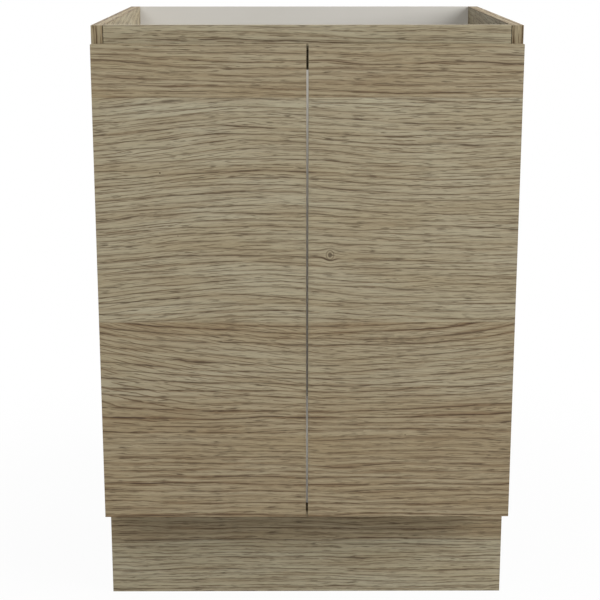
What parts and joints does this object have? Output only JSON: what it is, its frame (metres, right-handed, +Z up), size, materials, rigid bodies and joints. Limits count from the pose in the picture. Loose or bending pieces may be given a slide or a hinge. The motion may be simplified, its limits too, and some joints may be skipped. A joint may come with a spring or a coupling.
{
  "type": "kitchen base cabinet",
  "caption": "Frameless kitchen base cabinet, open at the top for a worktop, with flat hinged doors without handles, a front rail, adjustable feet and a recessed kickboard.",
  "frame": {"origin": "on the floor, below the middle of the whole cabinet", "axes": "+X to the right across the front, +Y from the doors to the back, +Z up"},
  "size_m": [0.6, 0.558, 0.87],
  "materials": {
    "oak_board": "matt decor paper with a horizontal oak grain on particle board",
    "oak_tape": "matt oak-look edge tape",
    "white_board": "matt white melamine",
    "nickel_steel": "nickel-plated pressed steel",
    "steel": "zinc-plated",
    "black_plastic": "matt moulded",
    "clear_plastic": "soft clear",
    "beech": "plain fluted dowel wood"
  },
  "bodies": {
    "cabinet": {"left_side": "oak_board", "right_side": "oak_board", "left_side_edging": "oak_tape", "right_side_edging": "oak_tape", "bottom_panel": "white_board", "bottom_edging": "oak_tape", "back_panel": "white_board", "back_nails": "steel", "front_rail": "oak_board", "rail_edging": "oak_tape", "cams": "steel", "cam_bolts": "steel", "dowels": "beech", "left_upper_hinge_arm": "nickel_steel", "left_upper_hinge_plate": "nickel_steel", "left_lower_hinge_arm": "nickel_steel", "left_lower_hinge_plate": "nickel_steel", "right_upper_hinge_arm": "nickel_steel", "right_upper_hinge_plate": "nickel_steel", "right_lower_hinge_arm": "nickel_steel", "right_lower_hinge_plate": "nickel_steel", "arm_pins": "steel", "arm_screws": "steel", "plate_screws": "steel", "leg_sockets": "black_plastic", "leg_tubes": "black_plastic", "leg_screws": "steel", "kickboard": "oak_board", "kick_edging": "oak_tape", "kick_clips": "black_plastic", "clip_screws": "steel"},
    "left_outer_links": {"left_upper_outer_link": "nickel_steel", "left_lower_outer_link": "nickel_steel"},
    "left_inner_links": {"left_upper_inner_link": "nickel_steel", "left_lower_inner_link": "nickel_steel"},
    "left_door": {"left_door": "oak_board", "left_door_edging": "oak_tape", "left_door_bumpers": "clear_plastic", "left_upper_hinge_cup": "nickel_steel", "left_lower_hinge_cup": "nickel_steel", "left_cup_pins": "steel", "left_cup_screws": "steel"},
    "right_outer_links": {"right_upper_outer_link": "nickel_steel", "right_lower_outer_link": "nickel_steel"},
    "right_inner_links": {"right_upper_inner_link": "nickel_steel", "right_lower_inner_link": "nickel_steel"},
    "right_door": {"right_door": "oak_board", "right_door_edging": "oak_tape", "right_door_bumpers": "clear_plastic", "right_upper_hinge_cup": "nickel_steel", "right_lower_hinge_cup": "nickel_steel", "right_cup_pins": "steel", "right_cup_screws": "steel"},
    "front_left_foot": {"front_left_foot": "black_plastic"},
    "front_right_foot": {"front_right_foot": "black_plastic"},
    "rear_left_foot": {"rear_left_foot": "black_plastic"},
    "rear_right_foot": {"rear_right_foot": "black_plastic"}
  },
  "joints": [
    {"name": "left_outer_links_turn", "type": "hinge", "parent": "cabinet", "child": "left_outer_links", "pos_m": [-0.2726, -0.2573, 0.498], "axis": [0, 0, 1], "range_deg": [0, 56.72]},
    {"name": "left_door_swing", "type": "hinge", "parent": "left_outer_links", "child": "left_door", "pos_m": [-0.2882, -0.2665, 0.498], "axis": [0, 0, -1], "range_deg": [0, 151.72]},
    {"name": "left_inner_links_turn", "type": "hinge", "parent": "cabinet", "child": "left_inner_links", "pos_m": [-0.2665, -0.2353, 0.498], "axis": [0, 0, 1], "range_deg": [0, 31.07]},
    {"name": "right_outer_links_turn", "type": "hinge", "parent": "cabinet", "child": "right_outer_links", "pos_m": [0.2726, -0.2573, 0.498], "axis": [0, 0, -1], "range_deg": [0, 56.72]},
    {"name": "right_door_swing", "type": "hinge", "parent": "right_outer_links", "child": "right_door", "pos_m": [0.2882, -0.2665, 0.498], "axis": [0, 0, 1], "range_deg": [0, 151.72]},
    {"name": "right_inner_links_turn", "type": "hinge", "parent": "cabinet", "child": "right_inner_links", "pos_m": [0.2665, -0.2353, 0.498], "axis": [0, 0, -1], "range_deg": [0, 31.07]},
    {"name": "front_left_foot_height", "type": "slide", "parent": "cabinet", "child": "front_left_foot", "axis": [0, 0, -1], "range_m": [-0.012, 0.02]},
    {"name": "front_right_foot_height", "type": "slide", "parent": "cabinet", "child": "front_right_foot", "axis": [0, 0, -1], "range_m": [-0.012, 0.02]},
    {"name": "rear_left_foot_height", "type": "slide", "parent": "cabinet", "child": "rear_left_foot", "axis": [0, 0, -1], "range_m": [-0.012, 0.02]},
    {"name": "rear_right_foot_height", "type": "slide", "parent": "cabinet", "child": "rear_right_foot", "axis": [0, 0, -1], "range_m": [-0.012, 0.02]}
  ],
  "couplings": [
    {"joint": "left_outer_links_turn", "follows": "left_door_swing", "ratio": 0.37383},
    {"joint": "left_inner_links_turn", "follows": "left_door_swing", "ratio": 0.20476},
    {"joint": "right_outer_links_turn", "follows": "right_door_swing", "ratio": 0.37383},
    {"joint": "right_inner_links_turn", "follows": "right_door_swing", "ratio": 0.20476}
  ]
}
